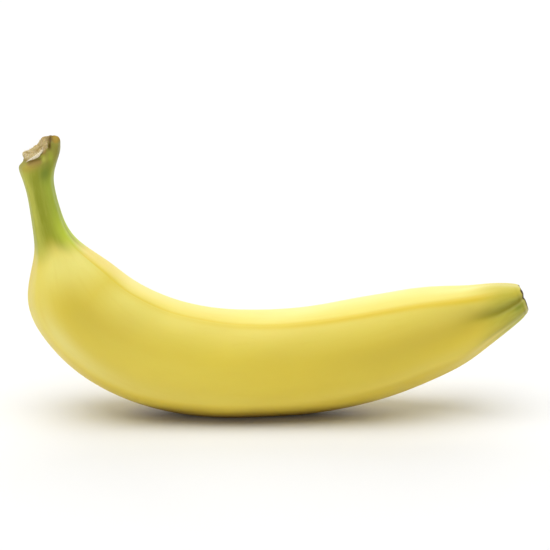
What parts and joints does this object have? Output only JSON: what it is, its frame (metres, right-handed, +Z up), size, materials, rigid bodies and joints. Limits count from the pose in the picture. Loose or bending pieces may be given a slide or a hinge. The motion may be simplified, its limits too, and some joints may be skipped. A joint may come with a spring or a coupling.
{
  "type": "banana",
  "caption": "Ripe yellow banana, whole and unpeeled, curved with soft ridges, a green neck with a cut stem, and a dark blossom tip.",
  "frame": {"origin": "in the small flat spot on the outer curve that the fruit rests on, below its centre of mass", "axes": "+Z up; +X from the stem end towards the blossom tip; the fruit curves upwards in the XZ plane"},
  "size_m": [0.1828, 0.0373, 0.1029],
  "materials": {
    "peel": "smooth waxy fruit skin, satin, yellow with a green neck, a brown cut stem and a near-black blossom scar"
  },
  "bodies": {
    "root": {"banana": "peel"}
  },
  "joints": []
}
